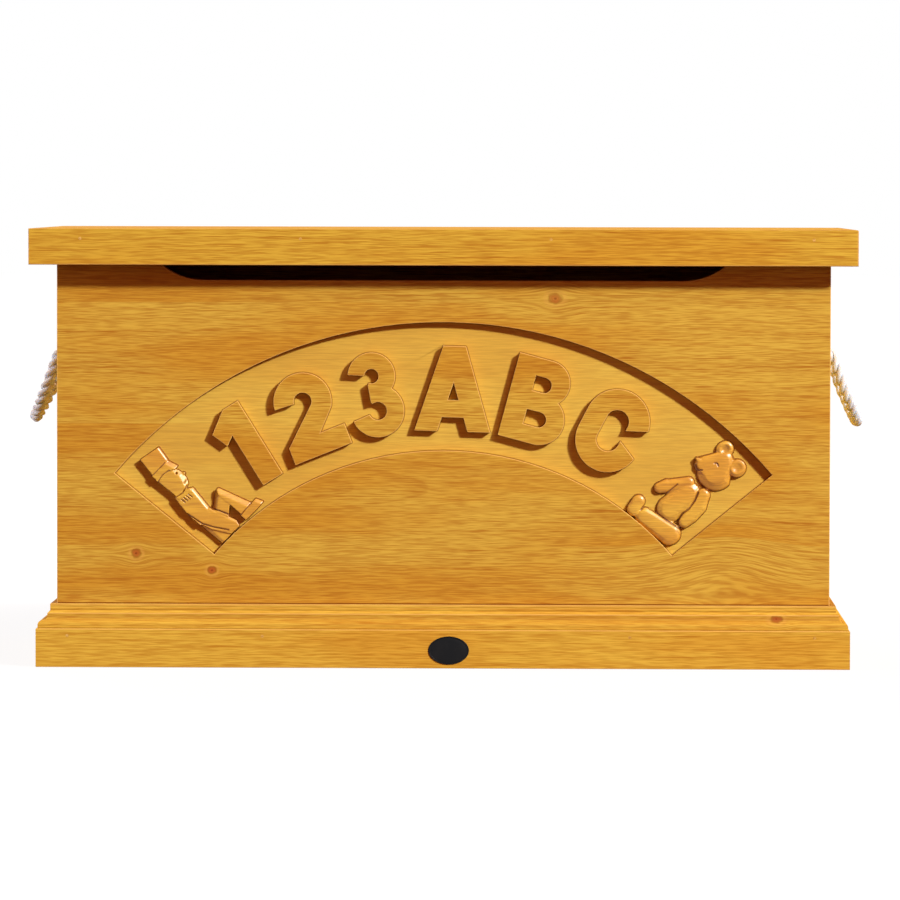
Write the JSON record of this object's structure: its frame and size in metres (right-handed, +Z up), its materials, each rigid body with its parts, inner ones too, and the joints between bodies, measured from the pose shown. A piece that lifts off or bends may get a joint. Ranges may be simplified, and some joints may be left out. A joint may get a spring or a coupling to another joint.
{
  "type": "wooden toy box",
  "caption": "Pine toy box with a hinged lid on slotted stays, a finger cut-out, a carved arch of raised characters with a bear and a soldier, a moulded plinth and rope handles.",
  "frame": {"origin": "on the floor, under the middle of the closed box without its rope handles", "axes": "+Z up, -Y towards the front panel, +X to the right as seen from the front"},
  "size_m": [0.9484, 0.4654, 0.485],
  "materials": {
    "pine_outer": "satin lacquer over stained pine",
    "pine_carved": "satin lacquer over stained pine, carved",
    "pine_inner": "bare planed pine",
    "wood_filler": "wood filler under lacquer",
    "badge_black": "black gloss, blank",
    "brass": "satin brass",
    "zinc_steel": "zinc plated steel",
    "cotton_rope": "laid cotton rope"
  },
  "bodies": {
    "carcass": {"front_panel": "pine_outer", "back_panel": "pine_inner", "left_side_panel": "pine_outer", "right_side_panel": "pine_outer", "floor_board": "pine_inner", "front_floor_batten": "pine_inner", "rear_floor_batten": "pine_inner", "left_floor_batten": "pine_inner", "right_floor_batten": "pine_inner", "front_left_corner_batten": "pine_inner", "front_right_corner_batten": "pine_inner", "rear_left_corner_batten": "pine_inner", "rear_right_corner_batten": "pine_inner", "corner_batten_screws": "zinc_steel", "floor_batten_screws": "zinc_steel", "floor_screws": "zinc_steel", "plinth_front": "pine_outer", "plinth_left": "pine_outer", "plinth_right": "pine_outer", "plinth_pins": "zinc_steel", "plinth_pin_fillers": "wood_filler", "badge": "badge_black", "bear_carving": "pine_carved", "soldier_carving": "pine_carved", "left_hinge_lower_leaf": "brass", "right_hinge_lower_leaf": "brass", "left_hinge_pin": "brass", "right_hinge_pin": "brass", "hinge_lower_screws": "brass", "left_stay_stud": "zinc_steel", "right_stay_stud": "zinc_steel", "stay_stud_screws": "zinc_steel", "left_rope_ends": "cotton_rope", "right_rope_ends": "cotton_rope"},
    "lid": {"lid_panel": "pine_outer", "lid_front_lipping": "pine_outer", "lid_left_lipping": "pine_outer", "lid_right_lipping": "pine_outer", "lipping_pins": "zinc_steel", "lipping_pin_fillers": "wood_filler", "left_hinge_upper_leaf": "brass", "right_hinge_upper_leaf": "brass", "hinge_upper_screws": "brass", "left_stay_bracket": "zinc_steel", "right_stay_bracket": "zinc_steel", "left_stay_rivet": "zinc_steel", "right_stay_rivet": "zinc_steel", "stay_bracket_screws": "zinc_steel"},
    "left_stay_arm": {"left_stay_arm": "zinc_steel"},
    "right_stay_arm": {"right_stay_arm": "zinc_steel"},
    "left_rope_handle": {"left_rope_handle": "cotton_rope"},
    "right_rope_handle": {"right_rope_handle": "cotton_rope"}
  },
  "joints": [
    {"name": "lid_hinge", "type": "hinge", "parent": "carcass", "child": "lid", "pos_m": [0, 0.22875, 0.465], "axis": [-1, 0, 0], "range_deg": [0, 95]},
    {"name": "left_stay_pivot", "type": "hinge", "parent": "lid", "child": "left_stay_arm", "pos_m": [-0.404, 0.10969, 0.45], "axis": [-1, 0, 0], "range_deg": [-47.5, 0]},
    {"name": "right_stay_pivot", "type": "hinge", "parent": "lid", "child": "right_stay_arm", "pos_m": [0.404, 0.10969, 0.45], "axis": [-1, 0, 0], "range_deg": [-47.5, 0]},
    {"name": "left_rope_swing", "type": "hinge", "parent": "carcass", "child": "left_rope_handle", "pos_m": [-0.435, 0.01075, 0.345], "axis": [0, 1, 0], "range_deg": [0, 140]},
    {"name": "right_rope_swing", "type": "hinge", "parent": "carcass", "child": "right_rope_handle", "pos_m": [0.435, 0.01075, 0.345], "axis": [0, -1, 0], "range_deg": [0, 140]}
  ],
  "couplings": [
    {"joint": "left_stay_pivot", "follows": "lid_hinge", "ratio": -0.5},
    {"joint": "right_stay_pivot", "follows": "lid_hinge", "ratio": -0.5}
  ]
}
